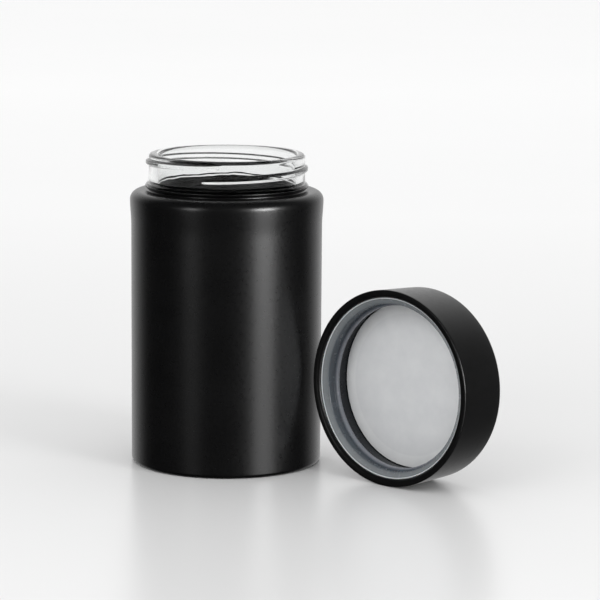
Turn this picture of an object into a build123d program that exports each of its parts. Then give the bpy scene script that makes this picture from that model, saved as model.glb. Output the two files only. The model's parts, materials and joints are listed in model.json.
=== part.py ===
from build123d import *
from math import cos, radians, sin, tan
import os

# Straight-sided glass jar with a screw lid, millimetres, +Z up.
# The origin is the centre of the jar's foot. The lid stands on its edge beside
# the jar, on the same surface, with its mouth turned towards -X and -Y.

# Jar
BODY_RADIUS = 31.0
SHOULDER_SWELL = 0.4
SHOULDER_Z = 89.05
SHOULDER_CORNER = 3.0
SWELL_HEIGHT = 8.0
HEEL_RADIUS = 1.6
COAT = 0.12
COAT_FOOT_Z = 0.35
WALL = 2.8
FLOOR_THICKNESS = 5.0
INNER_CORNER = 6.0
CEILING_FILLET = 3.0
CEILING_RISE = 1.0
THROAT_FILLET = 1.5
PUNT_RADIUS = 24.0
PUNT_DEPTH = 1.5
OVERCUT = 1.0

# Neck, a 53 mm continuous-thread finish at 6 threads to the inch
RIM_Z = 101.02
NECK_RADIUS = 25.35
MOUTH_RADIUS = 22.2
RIM_OUTER_FILLET = 1.1
RIM_INNER_FILLET = 1.3
NECK_FILLET = 0.6
BEAD_Z = 90.75
BEAD_RADIUS = 26.3
BEAD_HALF_WIDTH = 1.0
THREAD_PITCH = 25.4 / 6
THREAD_CREST = 26.3
THREAD_TURN_DEG = 376.0
THREAD_START_DEG = 252.0
THREAD_START_Z = 94.95
THREAD_ROOT_WIDTH = 2.3
THREAD_CREST_WIDTH = 0.9
THREAD_CREST_ROUNDING = 0.4
THREAD_SINK = 0.5

# Lid, a double-walled cap: black outer shell, threaded insert and foam liner
LID_RADIUS = 31.22
LID_HEIGHT = 19.2
LID_DRAFT_DEG = 1.75
LID_TOP_FILLET = 1.5
LID_MOUTH_FILLET = 0.35
LID_LIP_RADIUS = 28.78
LID_LIP_BEVEL = 0.7
LIP_DEPTH = 3.2
SHELL_WALL = 1.5
SHELL_ROOF = 1.6
SHELL_INNER_FILLET = 1.0

# Insert
INSERT_MOUTH_DEPTH = 1.16
INSERT_BORE = 26.65
INSERT_WALL = 1.1
LEAD_IN_DEPTH = 2.4
LEAD_IN_RADIUS = 28.4
FLANGE_BACK_DEPTH = 2.6
INSERT_PLATE = 1.0
INSERT_THREAD_CREST = 25.75
INSERT_THREAD_START = 4.18
INSERT_THREAD_TURN_DEG = 400.0
INSERT_THREAD_START_DEG = 270.0
SPACER_RADIUS = 12.0
SPACER_WALL = 1.2

# Liner: a foam core between two polyethylene films
LINER_DEPTH = 11.08
LINER_RADIUS = 26.42
FILM = 0.12
FOAM = 1.1
LINER_PLAY = 0.1

# Where the lid stands
LID_PLACE = (51.86, -37.24)
LID_HEADING_DEG = -131.5

SECTION = Plane.XZ


def corner_at(sketch, radius, height):
    """The corner of a half section nearest to a radius and a height."""
    return sketch.vertices().sort_by_distance((radius, height, 0))[0]


def turned(face):
    """Solid of revolution about Z from a half section drawn in X and Z."""
    return revolve(face, Axis.Z, 360)


def body_edges(inset, foot_z):
    """Outer edges of the jar body, from its foot up and in to the neck."""
    side = BODY_RADIUS - inset
    top = SHOULDER_Z - inset
    swollen = side + SHOULDER_SWELL
    corner = SHOULDER_CORNER - inset
    heel = HEEL_RADIUS - inset
    side_top = top - corner
    diagonal = sin(radians(45))
    heel_arc = ThreePointArc(
        (side - heel, foot_z),
        (side - heel + heel * diagonal, foot_z + heel - heel * diagonal),
        (side, foot_z + heel),
    )
    straight = Line((side, foot_z + heel), (side, side_top - SWELL_HEIGHT))
    swell = Spline(
        (side, side_top - SWELL_HEIGHT),
        (swollen, side_top),
        tangents=[(0, 1), (0, 1)],
    )
    corner_arc = ThreePointArc(
        (swollen, side_top),
        (swollen - corner + corner * diagonal, side_top + corner * diagonal),
        (swollen - corner, top),
    )
    return [heel_arc, straight, swell, corner_arc]


def body_blank(inset, foot_z):
    """Half section of the jar body filled to the axis, without its neck."""
    edges = body_edges(inset, foot_z)
    top = SHOULDER_Z - inset
    start = edges[0] @ 0
    end = edges[-1] @ 1
    edges.append(Polyline((end.X, top), (0, top), (0, foot_z), (start.X, foot_z)))
    return make_face([SECTION * edge for edge in edges])


def neck_blank():
    """Half section of the neck filled to the axis, with its rounded rim."""
    foot = SHOULDER_Z - SHOULDER_CORNER
    with BuildSketch(SECTION) as sketch:
        with Locations((NECK_RADIUS / 2, (foot + RIM_Z) / 2)):
            Rectangle(NECK_RADIUS, RIM_Z - foot)
        fillet(corner_at(sketch, NECK_RADIUS, RIM_Z), RIM_OUTER_FILLET)
    return sketch.sketch


def bead(inset):
    """Half section of the rounded bead round the neck's foot."""
    reach = BEAD_HALF_WIDTH + COAT - inset
    root = NECK_RADIUS - THREAD_SINK
    with BuildSketch(SECTION) as sketch:
        with BuildLine():
            ThreePointArc(
                (root, BEAD_Z - reach),
                (BEAD_RADIUS + COAT - inset, BEAD_Z),
                (root, BEAD_Z + reach),
            )
            Line((root, BEAD_Z + reach), (root, BEAD_Z - reach))
        make_face()
    return sketch.sketch


def neck_foot(inset):
    """Half section of the foot of the neck, where it rounds out onto the shoulder."""
    side = NECK_RADIUS + COAT - inset
    foot = SHOULDER_Z - inset
    centre = (NECK_RADIUS + NECK_FILLET, SHOULDER_Z - COAT + NECK_FILLET)
    radius = NECK_FILLET - COAT + inset
    diagonal = radius * sin(radians(45))
    with BuildSketch(SECTION) as sketch:
        with BuildLine():
            ThreePointArc(
                (side, centre[1]),
                (centre[0] - diagonal, centre[1] - diagonal),
                (centre[0], foot),
            )
            Polyline(
                (centre[0], foot),
                (NECK_RADIUS - THREAD_SINK, foot),
                (NECK_RADIUS - THREAD_SINK, BEAD_Z),
                (side, BEAD_Z),
                (side, centre[1]),
            )
        make_face()
    return sketch.sketch


def jar_cavity():
    """Half section of the space inside the jar, from its floor to above the rim."""
    side = BODY_RADIUS - WALL
    ceiling = SHOULDER_Z - WALL
    throat = ceiling + CEILING_RISE
    above = RIM_Z + OVERCUT
    with BuildSketch(SECTION) as sketch:
        with BuildLine():
            Polyline(
                (0, FLOOR_THICKNESS),
                (side, FLOOR_THICKNESS),
                (side, ceiling),
                (MOUTH_RADIUS, throat),
                (MOUTH_RADIUS, above),
                (0, above),
                (0, FLOOR_THICKNESS),
            )
        make_face()
        fillet(corner_at(sketch, side, FLOOR_THICKNESS), INNER_CORNER)
        fillet(corner_at(sketch, side, ceiling), CEILING_FILLET)
        fillet(corner_at(sketch, MOUTH_RADIUS, throat), THROAT_FILLET)
    return sketch.sketch


def rim_flare():
    """Half section of the glass rounded away at the rim's inner edge."""
    edge = MOUTH_RADIUS + RIM_INNER_FILLET
    low = RIM_Z - RIM_INNER_FILLET
    clear = MOUTH_RADIUS - OVERCUT
    diagonal = RIM_INNER_FILLET * sin(radians(45))
    with BuildSketch(SECTION) as sketch:
        with BuildLine():
            ThreePointArc((MOUTH_RADIUS, low), (edge - diagonal, low + diagonal), (edge, RIM_Z))
            Polyline((edge, RIM_Z), (clear, RIM_Z), (clear, low), (MOUTH_RADIUS, low))
        make_face()
    return sketch.sketch


def punt():
    """Half section of the shallow dome pressed up into the jar's underside."""
    with BuildSketch(SECTION) as sketch:
        with BuildLine():
            TangentArc((0, PUNT_DEPTH), (PUNT_RADIUS, 0), tangent=(1, 0))
            Polyline((PUNT_RADIUS, 0), (PUNT_RADIUS, -OVERCUT), (0, -OVERCUT), (0, PUNT_DEPTH))
        make_face()
    return sketch.sketch


def thread_ridge(root, crest, pitch, turn_deg, start_deg, start_z):
    """One start of right-hand thread, from below its root radius out or in to its crest."""
    outward = 1 if crest > root else -1
    sunk = root - outward * THREAD_SINK
    helix = Helix(pitch, pitch * turn_deg / 360, sunk)
    height = abs(crest - sunk)
    with BuildSketch(Plane(origin=helix @ 0, x_dir=(outward, 0, 0), z_dir=helix % 0)) as sketch:
        with BuildLine():
            Polyline(
                (0, -THREAD_ROOT_WIDTH / 2),
                (height, -THREAD_CREST_WIDTH / 2),
                (height, THREAD_CREST_WIDTH / 2),
                (0, THREAD_ROOT_WIDTH / 2),
                close=True,
            )
        make_face()
        fillet(sketch.vertices().sort_by(Axis.X)[-2:], THREAD_CREST_WIDTH * THREAD_CREST_ROUNDING)
    ridge = sweep(sketch.sketch, path=helix, is_frenet=True)
    return Pos(0, 0, start_z) * Rot(0, 0, start_deg) * ridge


def coated_glass(inset, foot_z):
    """The jar's body, the foot of its neck and its bead: the surfaces that the coat follows."""
    return turned(body_blank(inset, foot_z)) + turned(neck_foot(inset)) + turned(bead(inset))


def glass_jar():
    """Clear glass jar: body, shoulder, threaded neck and pressed-up foot."""
    blank = coated_glass(COAT, 0) + turned(neck_blank())
    blank += thread_ridge(
        NECK_RADIUS, THREAD_CREST, THREAD_PITCH, THREAD_TURN_DEG, THREAD_START_DEG, THREAD_START_Z
    )
    return blank - turned(jar_cavity()) - turned(rim_flare()) - turned(punt())


def black_coating():
    """Sprayed coat of even thickness, from just above the foot up to the crest of the bead."""
    skin = coated_glass(0, -COAT) - coated_glass(COAT, 0)
    neck_hole = Pos(0, 0, SHOULDER_Z) * Cylinder(NECK_RADIUS, 4 * SHOULDER_CORNER)
    bare_foot = Cylinder(BODY_RADIUS + OVERCUT, 2 * COAT_FOOT_Z)
    bare_neck = Pos(0, 0, BEAD_Z + NECK_RADIUS) * Cylinder(BODY_RADIUS, 2 * NECK_RADIUS)
    return skin - neck_hole - bare_foot - bare_neck


def lid_outline(radius, foot, top, corner, foot_corner=None):
    """Half section of a drafted disc filled to the axis, rounded at its closed end."""
    lean = tan(radians(LID_DRAFT_DEG))
    with BuildSketch(SECTION) as sketch:
        with BuildLine():
            Polyline(
                (0, foot),
                (radius - lean * foot, foot),
                (radius - lean * top, top),
                (0, top),
                (0, foot),
            )
        make_face()
        fillet(corner_at(sketch, radius - lean * top, top), corner)
        if foot_corner:
            fillet(corner_at(sketch, radius - lean * foot, foot), foot_corner)
    return sketch.sketch


def lid_shell():
    """Black outer shell, with a thicker lip round its mouth that holds the insert."""
    roof = LID_HEIGHT - SHELL_ROOF
    shell = turned(lid_outline(LID_RADIUS, 0, LID_HEIGHT, LID_TOP_FILLET, LID_MOUTH_FILLET))
    shell -= turned(lid_outline(LID_RADIUS - SHELL_WALL, LIP_DEPTH, roof, SHELL_INNER_FILLET))
    shell -= Pos(0, 0, LIP_DEPTH / 2) * Cylinder(LID_LIP_RADIUS, LIP_DEPTH)
    bevel = Cone(LID_LIP_RADIUS + LID_LIP_BEVEL, LID_LIP_RADIUS, LID_LIP_BEVEL)
    return shell - Pos(0, 0, LID_LIP_BEVEL / 2) * bevel


def lid_insert():
    """Threaded insert: flange and lead-in at the mouth, thread, end plate and spacer ring."""
    outer = INSERT_BORE + INSERT_WALL
    plate = LINER_DEPTH + FOAM + 2 * FILM + LINER_PLAY
    back = plate + INSERT_PLATE
    roof = LID_HEIGHT - SHELL_ROOF
    with BuildSketch(SECTION) as sketch:
        with BuildLine():
            Polyline(
                (LEAD_IN_RADIUS, INSERT_MOUTH_DEPTH),
                (LID_LIP_RADIUS, INSERT_MOUTH_DEPTH),
                (LID_LIP_RADIUS, FLANGE_BACK_DEPTH),
                (outer, FLANGE_BACK_DEPTH),
                (outer, back),
                (SPACER_RADIUS, back),
                (SPACER_RADIUS, roof),
                (SPACER_RADIUS - SPACER_WALL, roof),
                (SPACER_RADIUS - SPACER_WALL, back),
                (0, back),
                (0, plate),
                (INSERT_BORE, plate),
                (INSERT_BORE, LEAD_IN_DEPTH),
                close=True,
            )
        make_face()
    cup = turned(sketch.sketch)
    ridge = thread_ridge(
        INSERT_BORE,
        INSERT_THREAD_CREST,
        THREAD_PITCH,
        INSERT_THREAD_TURN_DEG,
        INSERT_THREAD_START_DEG,
        INSERT_THREAD_START,
    )
    return cup + ridge


def liner_ply(depth, thickness):
    """One ply of the round liner, its mouth side at the given depth in the lid."""
    return Pos(0, 0, depth + thickness / 2) * Cylinder(LINER_RADIUS, thickness)


def standing(shape):
    """Turn a lid piece from upright over the jar to standing on its edge beside it."""
    lift = LID_RADIUS * cos(radians(LID_DRAFT_DEG))
    tip = Rot(0, 90 + LID_DRAFT_DEG, 0)
    heading = Rot(0, 0, LID_HEADING_DEG + 180)
    return Pos(LID_PLACE[0], LID_PLACE[1], lift) * heading * tip * shape


def parts():
    """Every node of the assembly, by name."""
    foam_depth = LINER_DEPTH + FILM
    lid_pieces = {
        "lid_shell": lid_shell(),
        "lid_insert": lid_insert(),
        "liner_face_film": liner_ply(LINER_DEPTH, FILM),
        "liner_foam": liner_ply(foam_depth, FOAM),
        "liner_back_film": liner_ply(foam_depth + FOAM, FILM),
    }
    nodes = {"glass_jar": glass_jar(), "black_coating": black_coating()}
    nodes.update({name: standing(shape) for name, shape in lid_pieces.items()})
    return nodes


os.makedirs("parts", exist_ok=True)
for node, shape in parts().items():
    export_step(shape, f"parts/{node}.step")
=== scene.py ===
import bpy
import json
from math import asin, cos, degrees, pi, radians, sin, tan
from mathutils import Matrix, Vector


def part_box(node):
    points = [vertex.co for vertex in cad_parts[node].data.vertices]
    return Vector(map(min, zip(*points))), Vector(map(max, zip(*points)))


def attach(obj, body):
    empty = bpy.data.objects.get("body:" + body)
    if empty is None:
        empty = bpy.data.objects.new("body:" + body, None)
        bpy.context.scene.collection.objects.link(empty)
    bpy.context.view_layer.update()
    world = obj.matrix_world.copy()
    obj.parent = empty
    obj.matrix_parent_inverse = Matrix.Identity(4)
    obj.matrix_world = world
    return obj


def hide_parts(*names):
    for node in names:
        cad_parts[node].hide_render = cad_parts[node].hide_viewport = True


# A clear glass jar, coated matt black outside up to the bead on its neck, and
# its black screw lid, which stands on its edge beside it. Profiles are drawn in
# millimetres as (radius, height) and turned about an axis by lathe(), and
# mesh_object() scales them to metres.

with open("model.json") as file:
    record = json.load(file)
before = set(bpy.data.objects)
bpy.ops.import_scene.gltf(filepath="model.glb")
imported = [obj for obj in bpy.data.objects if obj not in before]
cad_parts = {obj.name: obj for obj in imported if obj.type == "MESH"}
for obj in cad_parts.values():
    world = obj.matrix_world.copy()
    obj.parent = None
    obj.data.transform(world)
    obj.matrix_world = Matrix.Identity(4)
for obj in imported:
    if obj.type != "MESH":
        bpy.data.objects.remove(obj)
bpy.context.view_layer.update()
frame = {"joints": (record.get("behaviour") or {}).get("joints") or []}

MM = 0.001
SEGMENTS = 256


# ---------------------------------------------------------------- sizes, mm
def corners(node):
    """Lowest and highest corner of a CAD node, in millimetres."""
    low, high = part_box(node)
    return low / MM, high / MM


COAT_LOW, COAT_HIGH = corners("black_coating")
GLASS_HIGH = corners("glass_jar")[1]
JOINTS = {joint["name"]: joint for joint in frame["joints"]}

SHOULDER_SWELL = 0.4
BODY_RADIUS = COAT_HIGH.x - SHOULDER_SWELL
SHOULDER_Z = 89.05
SHOULDER_CORNER = 3.0
SWELL_HEIGHT = 8.0
HEEL_RADIUS = 1.6
COAT = 0.12
COAT_FOOT_Z = COAT_LOW.z
WALL = 2.8
FLOOR_THICKNESS = 5.0
INNER_CORNER = 6.0
CEILING_FILLET = 3.0
THROAT_FILLET = 1.5
THROAT_Z = 88.52
CEILING_TANGENT = 2.54
CEILING_SLOPE_DEG = 9.46
SIDE_STEP = 1.5
PUNT_RADIUS = 24.0
PUNT_DEPTH = 1.5
PUNT_STEPS = 8
FLOOR_FLAT_RADIUS = 12.0
COAT_GAP = 0.01

RIM_Z = GLASS_HIGH.z
NECK_RADIUS = 25.35
MOUTH_RADIUS = 22.2
RIM_OUTER_FILLET = 1.1
RIM_INNER_FILLET = 1.3
NECK_FILLET = 0.6
NECK_APPROACH = 0.4
BEAD_Z = 90.75
BEAD_RADIUS = 26.3
BEAD_HALF_WIDTH = 1.0
COAT_TOP_Z = BEAD_Z
BEAD_STEPS = 8
BEAD_FOOT_DEG = 88.0
PITCH = 25.4 / 6
THREAD_CREST = 26.3
THREAD_TURN = 376.0
THREAD_START = 252.0
THREAD_START_Z = 94.95
THREAD_HALF_WIDTH = 1.15
THREAD_FADE = 14.0
THREAD_ROW = 0.12
FLANK_STEEPNESS = 1.55
END_HEIGHT = 0.25

LID_RADIUS = 31.22
LID_HEIGHT = 19.2
LID_DRAFT = radians(1.75)
LID_TOP_FILLET = 1.5
LIP_RADIUS = 28.78
LIP_DEPTH = 3.2
LIP_STEP = 0.7
SHELL_EDGE = 0.35
SHELL_WALL = 1.5
SHELL_ROOF = 1.6
SHELL_INNER_FILLET = 1.0
SHELL_MIDDLE = 20.0
INSERT_MOUTH_DEPTH = 1.16
INSERT_BORE = 26.65
INSERT_WALL = 1.1
INSERT_PLATE = 1.0
INSERT_CREST = 25.75
INSERT_THREAD_START_DEPTH = 4.18
INSERT_THREAD_TURN = 400.0
INSERT_THREAD_START = 270.0
INSERT_THREAD_HALF_WIDTH = 1.15
LEAD_IN_RADIUS = 28.4
LEAD_IN_DEPTH = 2.4
FLANGE_BACK = 2.6
FLANGE_GAP = 0.02
SPACER_RADIUS = 12.0
SPACER_WALL = 1.2
TINY_EDGE = 0.05
LINER_DEPTH = 11.08
LINER_RADIUS = 26.42
FILM = 0.12
FOAM = 1.1
FILM_EDGE = 0.04
FOAM_EDGE = 0.1
LINER_PLAY = 0.1
LINER_SEGMENTS = 192

STUDIO_HALF_SIZE = 8000.0

# ----------------------------------------------------- looks, light and camera
# Tones of the insert from its mouth to the liner, by share of the liner's depth: painted light at the
# mouth's edge and painted shade that darkens deeper into the lid.
INSERT_MOUTH_PAINTED_LIGHT_TONE = (0.66, 0.69, 0.70)
INSERT_DEEP_PAINTED_SHADE_TONE = (0.004, 0.006, 0.009)
INSERT_DEEP_PAINTED_SHADE_AT = 0.92
INSERT_PAINTED_LIGHT_AND_SHADE_BANDS = (
    (0.105, INSERT_MOUTH_PAINTED_LIGHT_TONE),
    (0.12, (0.15, 0.16, 0.17)),
    (0.14, (0.20, 0.215, 0.225)),
    (0.20, (0.17, 0.185, 0.195)),
    (0.235, (0.070, 0.083, 0.097)),
    (0.60, (0.050, 0.060, 0.074)),
    (0.70, (0.010, 0.013, 0.018)),
)
# Painted highlight on the insert's thread crest.
INSERT_CREST_HIGHLIGHT_TONE = (0.20, 0.21, 0.235)
LINER_MIDDLE_TONE = (0.93, 0.93, 0.935)

# The floor's painted shade, darker towards the camera's side, and the lights are in metres.
FLOOR_PAINTED_SHADE_NEAR = 0.1
FLOOR_PAINTED_SHADE_FAR = 1.3
FLOOR_PAINTED_SHADE_MIDDLE_AT = 0.4
AMBIENT = 1.02
FRONT_GLOW = 0.004
BACK_GLOW = 0.97
BELOW_SHARE = 0.62

LIGHT_DISTANCE = 0.95
LIGHT_AIM = Vector((0.02, -0.01, 0.045))
# name, azimuth to the right of the camera's side, elevation, size, power, highlight only
LIGHTS = (
    ("key_right_sheen", 47, 12, (0.36, 0.40), 11.5, True),
    ("key_right_low", 47, -20, (0.42, 0.5), 1.6, True),
    ("fill_left_sheen", -41, 13, (0.22, 0.40), 1.4, True),
    ("fill_left_low", -41, -18, (0.3, 0.5), 0.13, True),
    ("key_right", 49, 25, (0.28, 1.1), 4.5, False),
    ("fill_left", -38, 35, (0.5, 0.5), 2.0, False),
)

CAMERA_PLACE = Vector((28.85, -883.3, 203.24)) * MM
CAMERA_PITCH = 0.1685
CAMERA_YAW = -0.0055
CAMERA_ROLL = 0.0076
CAMERA_LENS = 164.66


# ------------------------------------------------------------------ outlines
def arc(centre, radius, start, end, steps=8):
    """Points along an arc, angles in degrees from the radial direction."""
    points = []
    for i in range(steps + 1):
        angle = radians(start + (end - start) * i / steps)
        points.append((centre[0] + radius * cos(angle), centre[1] + radius * sin(angle)))
    return points


def run(start, end, step):
    """Points from start up to but not including end, at most a step apart."""
    length = ((end[0] - start[0]) ** 2 + (end[1] - start[1]) ** 2) ** 0.5
    count = max(1, round(length / step))
    return [
        (start[0] + (end[0] - start[0]) * i / count, start[1] + (end[1] - start[1]) * i / count)
        for i in range(count)
    ]


def smooth(x):
    """Smooth step from 0 to 1."""
    x = min(max(x, 0.0), 1.0)
    return x * x * (3 - 2 * x)


def side_radius(z, inset):
    """Body radius at a height: straight, then swelling slightly below the shoulder."""
    swell_top = SHOULDER_Z - SHOULDER_CORNER
    return BODY_RADIUS - inset + SHOULDER_SWELL * smooth((z - swell_top + SWELL_HEIGHT) / SWELL_HEIGHT)


def body_outline(inset, foot_z):
    """Outside of the jar body from the heel up and over the shoulder."""
    heel = HEEL_RADIUS - inset
    heel_centre = (BODY_RADIUS - HEEL_RADIUS, HEEL_RADIUS - COAT)
    corner = SHOULDER_CORNER - inset
    top = SHOULDER_Z - inset
    lowest = degrees(asin(max(-1.0, (foot_z - heel_centre[1]) / heel)))
    points = arc(heel_centre, heel, lowest, 0, 10)
    z = heel_centre[1] + SIDE_STEP
    while z < top - corner:
        points.append((side_radius(z, inset), z))
        z += SIDE_STEP
    swollen = BODY_RADIUS - inset + SHOULDER_SWELL
    return points + arc((swollen - corner, top - corner), corner, 0, 90, 14)


def neck_foot(inset):
    """Foot of the neck: out of the shoulder, up, and out to the crest of the bead."""
    centre = (NECK_RADIUS + NECK_FILLET, SHOULDER_Z - COAT + NECK_FILLET)
    points = [(centre[0] + NECK_APPROACH, SHOULDER_Z - inset)]
    points += arc(centre, NECK_FILLET - COAT + inset, 270, 180, 8)
    side = NECK_RADIUS + COAT - inset
    crest = BEAD_RADIUS + COAT - inset
    for step in range(BEAD_STEPS + 1):
        angle = radians(BEAD_FOOT_DEG * (1 - step / BEAD_STEPS))
        points.append((side + (crest - side) * cos(angle), BEAD_Z - BEAD_HALF_WIDTH * sin(angle)))
    return points


# -------------------------------------------------------------------- meshes
def mesh_object(name, points, faces, materials=(), face_slots=None):
    """A smooth-shaded object from points in millimetres."""
    mesh = bpy.data.meshes.new(name)
    mesh.from_pydata([tuple(value * MM for value in point) for point in points], [], faces)
    for material in materials:
        mesh.materials.append(material)
    for index, polygon in enumerate(mesh.polygons):
        polygon.use_smooth = True
        polygon.material_index = face_slots[index] if face_slots else 0
    mesh.update()
    thing = bpy.data.objects.new(name, mesh)
    bpy.context.scene.collection.objects.link(thing)
    return thing


def lathe(name, outline, materials, slot_of=None, shape=None, segments=SEGMENTS):
    """Turn a closed outline about Z. Points on the axis become single poles.
    shape(index, radius, z, angle) may move a point; slot_of(index) picks an edge's material."""
    rings = []
    points = []
    for index, (radius, z) in enumerate(outline):
        if radius < 1e-6:
            rings.append([len(points)])
            points.append((0.0, 0.0, z))
            continue
        ring = []
        for k in range(segments):
            angle = 2 * pi * k / segments
            r, height = shape(index, radius, z, angle) if shape else (radius, z)
            ring.append(len(points))
            points.append((r * cos(angle), r * sin(angle), height))
        rings.append(ring)
    faces = []
    slots = []
    closed_on_axis = len(rings[0]) == 1 and len(rings[-1]) == 1
    pairs = list(zip(range(len(rings)), range(1, len(rings))))
    if not closed_on_axis:
        pairs.append((len(rings) - 1, 0))
    for a, b in pairs:
        low, high = rings[a], rings[b]
        if len(low) == 1 and len(high) == 1:
            continue
        for k in range(segments):
            n = (k + 1) % segments
            if len(low) == 1:
                faces.append((low[0], high[n], high[k]))
            elif len(high) == 1:
                faces.append((low[k], low[n], high[0]))
            else:
                faces.append((low[k], low[n], high[n], high[k]))
            slots.append(slot_of(a) if slot_of else 0)
    return mesh_object(name, points, faces, materials, slots)


def ridge_height(z, angle, start_z, start_deg, turn, half_width, fade):
    """How far up its flank a helical ridge stands at a height and an angle, 0 to 1."""
    best = 0.0
    turned = (degrees(angle) - start_deg) % 360
    while turned <= turn:
        centre = start_z + PITCH * turned / 360
        across = abs(z - centre) / half_width
        if across < 1:
            ends = min(smooth(turned / fade), smooth((turn - turned) / fade))
            crown = smooth((1 - across) * FLANK_STEEPNESS)
            low_end = END_HEIGHT + (1 - END_HEIGHT) * ends
            best = max(best, crown * low_end * min(1, ends / END_HEIGHT))
        turned += 360
    return best


# ----------------------------------------------------------------- materials
def nodes_of(name):
    """A new material with its node tree, its Principled shader and its object coordinates."""
    material = bpy.data.materials.new(name)
    material.use_nodes = True
    tree = material.node_tree
    shader = tree.nodes["Principled BSDF"]
    place = tree.nodes.new("ShaderNodeTexCoord")
    return material, tree, shader, place.outputs["Object"]


def noise(tree, place, scale, detail=3.0, roughness=0.55):
    """A noise texture's value output."""
    node = tree.nodes.new("ShaderNodeTexNoise")
    node.inputs["Scale"].default_value = scale
    node.inputs["Detail"].default_value = detail
    node.inputs["Roughness"].default_value = roughness
    tree.links.new(place, node.inputs["Vector"])
    return node.outputs["Fac"]


def ramp(tree, value, low, high, low_at=0.3, high_at=0.7):
    """Map a value to between two colours."""
    node = tree.nodes.new("ShaderNodeValToRGB")
    first, last = node.color_ramp.elements
    first.position, last.position = low_at, high_at
    first.color = (*low, 1)
    last.color = (*high, 1)
    tree.links.new(value, node.inputs["Fac"])
    return node.outputs["Color"]


def grey(level):
    """A grey as a colour."""
    return (level, level, level)


def bump(tree, shader, height, strength, distance):
    """Feed a height into the shader's normal."""
    node = tree.nodes.new("ShaderNodeBump")
    node.inputs["Strength"].default_value = strength
    node.inputs["Distance"].default_value = distance
    tree.links.new(height, node.inputs["Height"])
    tree.links.new(node.outputs["Normal"], shader.inputs["Normal"])


def multiply(tree, a, b):
    """One colour times another."""
    node = tree.nodes.new("ShaderNodeMix")
    node.data_type = "RGBA"
    node.blend_type = "MULTIPLY"
    node.inputs["Factor"].default_value = 1.0
    tree.links.new(a, node.inputs["A"])
    tree.links.new(b, node.inputs["B"])
    return node.outputs["Result"]


def along(tree, place, axis):
    """One coordinate of a place."""
    node = tree.nodes.new("ShaderNodeSeparateXYZ")
    tree.links.new(place, node.inputs["Vector"])
    return node.outputs[axis]


def from_axis(tree, place):
    """Distance of a place from its Z axis."""
    flat = tree.nodes.new("ShaderNodeVectorMath")
    flat.operation = "MULTIPLY"
    flat.inputs[1].default_value = (1, 1, 0)
    tree.links.new(place, flat.inputs[0])
    reach = tree.nodes.new("ShaderNodeVectorMath")
    reach.operation = "LENGTH"
    tree.links.new(flat.outputs["Vector"], reach.inputs[0])
    return reach.outputs["Value"]


def span(tree, value, low, high, to_low=0.0, to_high=1.0, soft=False):
    """Map a value between two limits, evenly or with soft ends."""
    node = tree.nodes.new("ShaderNodeMapRange")
    node.interpolation_type = "SMOOTHSTEP" if soft else "LINEAR"
    node.inputs["From Min"].default_value = low
    node.inputs["From Max"].default_value = high
    node.inputs["To Min"].default_value = to_low
    node.inputs["To Max"].default_value = to_high
    tree.links.new(value, node.inputs["Value"])
    return node.outputs["Result"]


def black_coat():
    """Matt sprayed coat: near-black, a very fine spray grain and a soft sheen."""
    material, tree, shader, place = nodes_of("black_coat")
    tone = ramp(tree, noise(tree, place, 60), (0.0025, 0.0025, 0.0027), (0.0040, 0.0040, 0.0042))
    tree.links.new(tone, shader.inputs["Base Color"])
    gloss = ramp(tree, noise(tree, place, 900, 2), grey(0.27), grey(0.31))
    tree.links.new(gloss, shader.inputs["Roughness"])
    shader.inputs["Specular IOR Level"].default_value = 0.42
    bump(tree, shader, noise(tree, place, 3200, 2), 0.10, 0.00004)
    return material


def black_moulding():
    """Lid shell: satin black, a finer grain than the coat."""
    material, tree, shader, place = nodes_of("black_moulding")
    tone = ramp(tree, noise(tree, place, 80), (0.0030, 0.0030, 0.0031), (0.0046, 0.0046, 0.0048))
    tree.links.new(tone, shader.inputs["Base Color"])
    gloss = ramp(tree, noise(tree, place, 700, 2), grey(0.29), grey(0.34))
    tree.links.new(gloss, shader.inputs["Roughness"])
    shader.inputs["Specular IOR Level"].default_value = 0.45
    bump(tree, shader, noise(tree, place, 2600, 2), 0.10, 0.00004)
    return material


def clear_glass():
    """Soda-lime container glass with the slight waviness of moulding."""
    material, tree, shader, place = nodes_of("clear_glass")
    shader.inputs["Base Color"].default_value = (0.985, 0.992, 0.99, 1)
    shader.inputs["Transmission Weight"].default_value = 1.0
    shader.inputs["IOR"].default_value = 1.52
    haze = ramp(tree, noise(tree, place, 140), grey(0.0), grey(0.02))
    tree.links.new(haze, shader.inputs["Roughness"])
    bump(tree, shader, noise(tree, place, 110, 1.5), 0.22, 0.0006)
    return material


def painted_glass():
    """The coat as it is seen from within the glass: black painted up to a dark grey as painted
    reflection of light in the glass, with a little mottle.
    """
    material, tree, shader, place = nodes_of("painted_glass")
    # Painted reflection: the black coat given a dark grey tone for light reflected in the glass.
    tone = ramp(tree, noise(tree, place, 150), (0.030, 0.030, 0.030), (0.055, 0.055, 0.054))
    tree.links.new(tone, shader.inputs["Base Color"])
    shader.inputs["Roughness"].default_value = 0.8
    shader.inputs["Specular IOR Level"].default_value = 0.1
    return material


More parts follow.
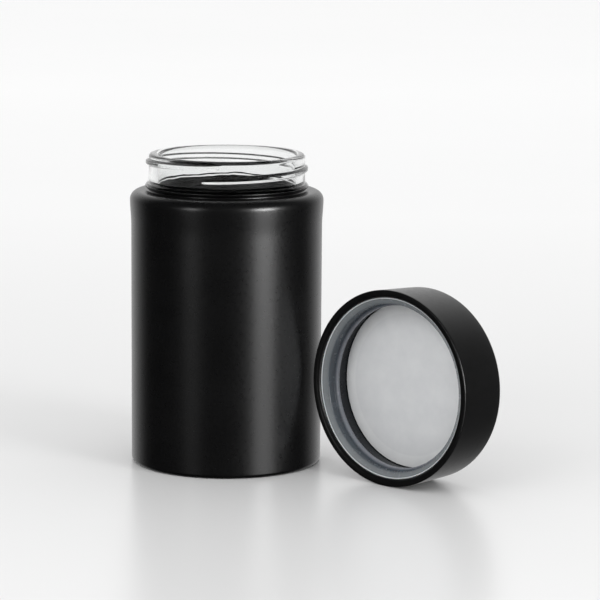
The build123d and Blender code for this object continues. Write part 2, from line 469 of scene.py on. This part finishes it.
def insert_plastic():
    """Threaded insert: grey translucent polypropylene. Its grey is painted lighter at the mouth's edge
    and darker deeper into the lid as painted light and shade, and lighter on the thread's crest as a
    painted highlight.
    """
    material, tree, shader, place = nodes_of("insert_plastic")
    mottle = ramp(tree, noise(tree, place, 90), grey(0.88), grey(1.0))
    depth = span(tree, along(tree, place, "Z"), 0.0, LINER_DEPTH * MM)
    # Painted light and shade: the insert's grey lighter at its mouth's edge and darker towards the
    # liner.
    fade = ramp(tree, depth, INSERT_MOUTH_PAINTED_LIGHT_TONE, INSERT_DEEP_PAINTED_SHADE_TONE, 0.0, INSERT_DEEP_PAINTED_SHADE_AT)
    for position, tone in INSERT_PAINTED_LIGHT_AND_SHADE_BANDS:
        fade.node.color_ramp.elements.new(position).color = (*tone, 1)
    # Painted highlight: the thread's crest made lighter than the bore around it.
    crest_highlight = tree.nodes.new("ShaderNodeMix")
    crest_highlight.data_type = "RGBA"
    crest_highlight.inputs["B"].default_value = (*INSERT_CREST_HIGHLIGHT_TONE, 1)
    crest = span(tree, from_axis(tree, place), (INSERT_BORE - 0.15) * MM, (INSERT_CREST + 0.1) * MM)
    tree.links.new(crest, crest_highlight.inputs["Factor"])
    tree.links.new(multiply(tree, fade, mottle), crest_highlight.inputs["A"])
    tree.links.new(crest_highlight.outputs["Result"], shader.inputs["Base Color"])
    gloss = ramp(tree, noise(tree, place, 500), grey(0.20), grey(0.30))
    tree.links.new(gloss, shader.inputs["Roughness"])
    shader.inputs["Specular IOR Level"].default_value = 0.35
    shader.inputs["Subsurface Weight"].default_value = 0.05
    shader.inputs["Subsurface Scale"].default_value = 0.001
    bump(tree, shader, noise(tree, place, 350, 2), 0.12, 0.00015)
    return material


def liner_film():
    """The liner's film: dull and pale, faintly mottled, brighter where the rim seats."""
    material, tree, shader, place = nodes_of("liner_film")
    cloud = ramp(tree, noise(tree, place, 130, 5, 0.62), (0.70, 0.712, 0.722), (0.77, 0.780, 0.785))
    seat_from = (MOUTH_RADIUS + 0.2) * MM
    seat_to = (MOUTH_RADIUS + 0.9) * MM
    within = span(tree, from_axis(tree, place), seat_from, seat_to, 1.0, 0.0, True)
    mix = tree.nodes.new("ShaderNodeMix")
    mix.data_type = "RGBA"
    mix.blend_type = "MULTIPLY"
    mix.inputs["B"].default_value = (*LINER_MIDDLE_TONE, 1)
    tree.links.new(within, mix.inputs["Factor"])
    tree.links.new(cloud, mix.inputs["A"])
    tree.links.new(mix.outputs["Result"], shader.inputs["Base Color"])
    gloss = ramp(tree, noise(tree, place, 400), grey(0.52), grey(0.66))
    tree.links.new(gloss, shader.inputs["Roughness"])
    bump(tree, shader, noise(tree, place, 520, 4), 0.14, 0.00012)
    return material


def foam():
    """Closed-cell foam, seen only at the liner's edge."""
    material, tree, shader, place = nodes_of("foam")
    tone = ramp(tree, noise(tree, place, 900, 2), (0.46, 0.47, 0.48), (0.60, 0.61, 0.62))
    tree.links.new(tone, shader.inputs["Base Color"])
    shader.inputs["Roughness"].default_value = 0.8
    bump(tree, shader, noise(tree, place, 1500, 2), 0.4, 0.0001)
    return material


# ---------------------------------------------------------------------- jar
def build_coating():
    """The coat as its own skin, with a soft edge at the neck and at the foot."""
    outer = body_outline(0, COAT_FOOT_Z) + neck_foot(0)
    inner = body_outline(COAT - COAT_GAP, COAT_FOOT_Z) + neck_foot(COAT - COAT_GAP)
    inner.reverse()
    piece = lathe("jar_coating", outer + inner, [black_coat()])
    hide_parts("black_coating")
    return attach(piece, "jar")


def glass_outline():
    """Closed outline of the jar, and where its coated stretch starts and ends and its neck ends."""
    painted = body_outline(COAT, 0.0) + neck_foot(COAT)
    shares = [i / PUNT_STEPS for i in range(PUNT_STEPS + 1)]
    under = [(PUNT_RADIUS * share, PUNT_DEPTH * (1 - share**2)) for share in shares]
    first = len(under)
    outline = under + painted
    last = len(outline)
    outer_top = RIM_Z - RIM_OUTER_FILLET
    outline += run((NECK_RADIUS, COAT_TOP_Z + 0.1), (NECK_RADIUS, outer_top), THREAD_ROW)
    neck_end = len(outline)
    outline += arc((NECK_RADIUS - RIM_OUTER_FILLET, outer_top), RIM_OUTER_FILLET, 0, 90, 8)
    inner_top = RIM_Z - RIM_INNER_FILLET
    outline += arc((MOUTH_RADIUS + RIM_INNER_FILLET, inner_top), RIM_INNER_FILLET, 90, 180, 8)
    ceiling = SHOULDER_Z - WALL
    side = BODY_RADIUS - WALL
    outline += run((MOUTH_RADIUS, inner_top - 0.5), (MOUTH_RADIUS, THROAT_Z), 1.0)
    throat_end = 270 - CEILING_SLOPE_DEG
    outline += arc((MOUTH_RADIUS + THROAT_FILLET, THROAT_Z), THROAT_FILLET, 180, throat_end, 8)
    ceiling_centre = (side - CEILING_FILLET, ceiling - CEILING_TANGENT)
    outline += arc(ceiling_centre, CEILING_FILLET, 90 - CEILING_SLOPE_DEG, 0, 8)
    outline += run((side, ceiling - 4.5), (side, FLOOR_THICKNESS + INNER_CORNER + 1.5), 6.0)
    outline += arc((side - INNER_CORNER, FLOOR_THICKNESS + INNER_CORNER), INNER_CORNER, 0, -90, 10)
    outline += [(FLOOR_FLAT_RADIUS, FLOOR_THICKNESS), (0.0, FLOOR_THICKNESS)]
    return outline, first, last, neck_end


def build_glass():
    """Jar glass: thread and bead stand out from the neck, the body carries the coat."""
    outline, first, last, neck_end = glass_outline()

    def shape(index, radius, z, angle):
        if not last <= index < neck_end:
            return radius, z
        ridge = ridge_height(
            z, angle, THREAD_START_Z, THREAD_START, THREAD_TURN, THREAD_HALF_WIDTH, THREAD_FADE
        )
        across = abs(z - BEAD_Z) / BEAD_HALF_WIDTH
        bead = max(0.0, 1 - across * across) ** 0.5 if across < 1 else 0.0
        out = max(ridge * (THREAD_CREST - NECK_RADIUS), bead * (BEAD_RADIUS - NECK_RADIUS))
        return radius + out, z

    def slot_of(index):
        return 1 if first <= index < last - 1 else 0

    piece = lathe("jar_glass", outline, [clear_glass(), painted_glass()], slot_of, shape)
    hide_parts("glass_jar")
    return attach(piece, "jar")


# ---------------------------------------------------------------------- lid
def lid_matrix():
    """The lid's own frame: origin at its mouth's centre, +Z into the lid."""
    turn = JOINTS["lid_turn"]
    into = Vector(turn["axis"]).normalized()
    across = Vector((0, 0, 1)).cross(into).normalized()
    up = into.cross(across)
    rotation = Matrix((-up, across, into)).transposed().to_4x4()
    return Matrix.Translation(Vector(turn["pos_m"])) @ rotation


LID = lid_matrix()


def place_on_lid(piece, node, body):
    """Set a piece drawn in the lid's own frame where the lid stands."""
    piece.matrix_world = LID
    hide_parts(node)
    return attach(piece, body)


def wall_radius(radius, depth):
    """Radius of a drafted wall at a depth."""
    return radius - tan(LID_DRAFT) * depth


def build_shell():
    """Outer shell: rounded mouth edge, inner step, drafted side, rounded top."""
    roof = LID_HEIGHT - SHELL_ROOF
    outline = arc((LID_RADIUS - SHELL_EDGE, SHELL_EDGE), SHELL_EDGE, -90, 0, 6)
    outline += run((wall_radius(LID_RADIUS, 1.0), 1.0), (wall_radius(LID_RADIUS, 17.0), 17.0), 2.0)
    top_centre = (wall_radius(LID_RADIUS, LID_HEIGHT) - LID_TOP_FILLET, LID_HEIGHT - LID_TOP_FILLET)
    outline += arc(top_centre, LID_TOP_FILLET, 0, 90, 10)
    outline += [(SHELL_MIDDLE, LID_HEIGHT), (0.0, LID_HEIGHT), (0.0, roof), (SHELL_MIDDLE, roof)]
    inner = LID_RADIUS - SHELL_WALL
    corner = (wall_radius(inner, roof) - SHELL_INNER_FILLET, roof - SHELL_INNER_FILLET)
    outline += arc(corner, SHELL_INNER_FILLET, 90, 0, 5)
    behind_lip = wall_radius(inner, LIP_DEPTH)
    outline += [(behind_lip, LIP_DEPTH + TINY_EDGE), (behind_lip - TINY_EDGE, LIP_DEPTH)]
    outline += [(LIP_RADIUS + TINY_EDGE, LIP_DEPTH), (LIP_RADIUS, LIP_DEPTH - TINY_EDGE)]
    outline += [(LIP_RADIUS, LIP_STEP + 0.1), (LIP_RADIUS + 0.04, LIP_STEP)]
    outline += [(LIP_RADIUS + LIP_STEP * 0.5, LIP_STEP * 0.45)]
    outline += [(LIP_RADIUS + LIP_STEP - TINY_EDGE, 0.06), (LIP_RADIUS + LIP_STEP + 0.08, 0.0)]
    piece = lathe("lid_shell_visual", outline, [black_moulding()])
    return place_on_lid(piece, "lid_shell", "lid")


def build_insert():
    """Threaded insert: flange, lead-in, thread, end plate and its spacer ring."""
    outer = INSERT_BORE + INSERT_WALL
    plate = LINER_DEPTH + FOAM + 2 * FILM + LINER_PLAY
    back = plate + INSERT_PLATE
    roof = LID_HEIGHT - SHELL_ROOF
    flange = LIP_RADIUS - FLANGE_GAP
    outline = [(LEAD_IN_RADIUS, INSERT_MOUTH_DEPTH + 0.06), (LEAD_IN_RADIUS + 0.08, INSERT_MOUTH_DEPTH)]
    outline += [(flange, INSERT_MOUTH_DEPTH), (flange, FLANGE_BACK)]
    outline += [(outer, FLANGE_BACK), (outer, back), (SPACER_RADIUS, back), (SPACER_RADIUS, roof)]
    outline += [(SPACER_RADIUS - SPACER_WALL, roof), (SPACER_RADIUS - SPACER_WALL, back)]
    outline += [(0.0, back), (0.0, plate), (INSERT_BORE - 0.15, plate), (INSERT_BORE, plate - 0.15)]
    first = len(outline)
    outline += run((INSERT_BORE, plate - 0.3), (INSERT_BORE, LEAD_IN_DEPTH + 0.3), THREAD_ROW)
    last = len(outline)
    outline += [(INSERT_BORE + 0.05, LEAD_IN_DEPTH + 0.1), (INSERT_BORE + 0.2, LEAD_IN_DEPTH - 0.06)]
    cone_foot = (INSERT_BORE + 0.4, LEAD_IN_DEPTH - 0.2)
    cone_top = (LEAD_IN_RADIUS - 0.1, INSERT_MOUTH_DEPTH + 0.16)
    outline += run(cone_foot, cone_top, 0.3)

    def shape(index, radius, z, angle):
        if not first <= index < last:
            return radius, z
        ridge = ridge_height(
            z,
            angle,
            INSERT_THREAD_START_DEPTH,
            INSERT_THREAD_START,
            INSERT_THREAD_TURN,
            INSERT_THREAD_HALF_WIDTH,
            THREAD_FADE,
        )
        return radius - ridge * (INSERT_BORE - INSERT_CREST), z

    piece = lathe("lid_insert_visual", outline, [insert_plastic()], None, shape)
    return place_on_lid(piece, "lid_insert", "lid")


def build_ply(name, node, depth, thickness, material, soft_edge):
    """One round ply of the liner, its edge slightly rounded."""
    outline = [(0.0, depth), (LINER_RADIUS * 0.5, depth)]
    outline += arc((LINER_RADIUS - soft_edge, depth + soft_edge), soft_edge, -90, 0, 4)
    outline += arc((LINER_RADIUS - soft_edge, depth + thickness - soft_edge), soft_edge, 0, 90, 4)
    outline += [(LINER_RADIUS * 0.5, depth + thickness), (0.0, depth + thickness)]
    piece = lathe(name, outline, [material], segments=LINER_SEGMENTS)
    return place_on_lid(piece, node, "liner")


def build_liner():
    """Foam liner: face film, foam core, back film."""
    film = liner_film()
    core = LINER_DEPTH + FILM
    build_ply("liner_face", "liner_face_film", LINER_DEPTH, FILM, film, FILM_EDGE)
    build_ply("liner_core", "liner_foam", core, FOAM, foam(), FOAM_EDGE)
    build_ply("liner_back", "liner_back_film", core + FOAM, FILM, film, FILM_EDGE)


# -------------------------------------------------------------------- studio

def floor_material():
    """Pale, faintly glossy studio surface, painted darker towards the camera's side as painted shade.
    """
    material, tree, shader, place = nodes_of("studio_floor")
    mottle = ramp(tree, noise(tree, place, 3), grey(0.985), grey(1.0))
    # Painted shade: the floor's colour darker on the camera's side and lighter far behind the jar.
    depth = span(tree, along(tree, place, "Y"), FLOOR_PAINTED_SHADE_NEAR, FLOOR_PAINTED_SHADE_FAR)
    fade = ramp(tree, depth, grey(0.67), grey(0.97), 0.0, 1.0)
    fade.node.color_ramp.elements.new(FLOOR_PAINTED_SHADE_MIDDLE_AT).color = (*grey(0.865), 1)
    tree.links.new(multiply(tree, fade, mottle), shader.inputs["Base Color"])
    shader.inputs["Roughness"].default_value = 0.28
    shader.inputs["Specular IOR Level"].default_value = 0.55
    return material


def build_floor():
    """A large flat floor, not part of the object, not mirrored in the jar."""
    size = STUDIO_HALF_SIZE
    points = [(-size, -size, 0), (size, -size, 0), (size, size, 0), (-size, size, 0)]
    floor = mesh_object("studio_floor", points, [(0, 1, 2, 3)], [floor_material()])
    floor.visible_glossy = False


def opaque_pieces():
    """The pieces that show the softboxes: the coat, the lid's shell and its insert."""
    found = bpy.data.collections.get("opaque_pieces")
    if found:
        return found
    made = bpy.data.collections.new("opaque_pieces")
    for name in ("jar_coating", "lid_shell_visual", "lid_insert_visual"):
        made.objects.link(bpy.data.objects[name])
    return made


def softbox(name, azimuth, elevation, size, power, sheen_only):
    """A soft rectangular light. A sheen_only one shows as a highlight on the opaque
    pieces and adds nothing to matt surfaces, and the others show no highlight."""
    light = bpy.data.lights.new(name, "AREA")
    light.shape = "RECTANGLE"
    light.size, light.size_y = size
    light.energy = power
    thing = bpy.data.objects.new(name, light)
    bpy.context.scene.collection.objects.link(thing)
    turn, rise = radians(azimuth), radians(elevation)
    away = Vector((sin(turn) * cos(rise), -cos(turn) * cos(rise), sin(rise)))
    thing.location = LIGHT_AIM + away * LIGHT_DISTANCE
    thing.rotation_euler = away.to_track_quat("Z", "Y").to_euler()
    thing.visible_diffuse = not sheen_only
    thing.visible_glossy = sheen_only
    thing.visible_transmission = False
    if sheen_only:
        thing.light_linking.receiver_collection = opaque_pieces()


def build_world():
    """White studio: bright all round for sight and diffuse light, and a bright back
    and a dark front where the object's gloss and glass look."""
    world = bpy.data.worlds.new("studio")
    bpy.context.scene.world = world
    world.use_nodes = True
    tree = world.node_tree
    background = tree.nodes["Background"]
    background.inputs["Color"].default_value = (1, 1, 1, 1)
    place = tree.nodes.new("ShaderNodeTexCoord")
    away = along(tree, place.outputs["Generated"], "Y")
    rise = along(tree, place.outputs["Generated"], "Z")
    toned = tree.nodes.new("ShaderNodeMath")
    toned.operation = "MULTIPLY"
    tree.links.new(span(tree, away, 0.3, 0.95, FRONT_GLOW, BACK_GLOW, True), toned.inputs[0])
    tree.links.new(span(tree, rise, -0.6, -0.1, BELOW_SHARE), toned.inputs[1])
    paths = tree.nodes.new("ShaderNodeLightPath")
    soft = tree.nodes.new("ShaderNodeMath")
    soft.operation = "MAXIMUM"
    tree.links.new(paths.outputs["Is Glossy Ray"], soft.inputs[0])
    tree.links.new(paths.outputs["Is Transmission Ray"], soft.inputs[1])
    mix = tree.nodes.new("ShaderNodeMix")
    mix.data_type = "FLOAT"
    mix.inputs["A"].default_value = AMBIENT
    tree.links.new(soft.outputs["Value"], mix.inputs["Factor"])
    tree.links.new(toned.outputs["Value"], mix.inputs["B"])
    tree.links.new(mix.outputs["Result"], background.inputs["Strength"])


def build_camera():
    """A long lens, a little above the jar's rim, looking slightly down."""
    data = bpy.data.cameras.new("camera")
    data.lens = CAMERA_LENS
    data.sensor_width = 36
    data.clip_end = 100
    camera = bpy.data.objects.new("camera", data)
    bpy.context.scene.collection.objects.link(camera)
    level = cos(CAMERA_PITCH)
    ahead = Vector((sin(CAMERA_YAW) * level, cos(CAMERA_YAW) * level, -sin(CAMERA_PITCH)))
    right = Vector((cos(CAMERA_YAW), -sin(CAMERA_YAW), 0))
    up = right.cross(ahead)
    tilted_right = right * cos(CAMERA_ROLL) + up * sin(CAMERA_ROLL)
    tilted_up = up * cos(CAMERA_ROLL) - right * sin(CAMERA_ROLL)
    axes = Matrix((tilted_right, tilted_up, -ahead)).transposed().to_4x4()
    camera.matrix_world = Matrix.Translation(CAMERA_PLACE) @ axes
    bpy.context.scene.camera = camera


build_coating()
build_glass()
build_shell()
build_insert()
build_liner()
build_floor()
build_world()
for light in LIGHTS:
    softbox(*light)
build_camera()
bpy.context.scene.view_settings.view_transform = "Standard"
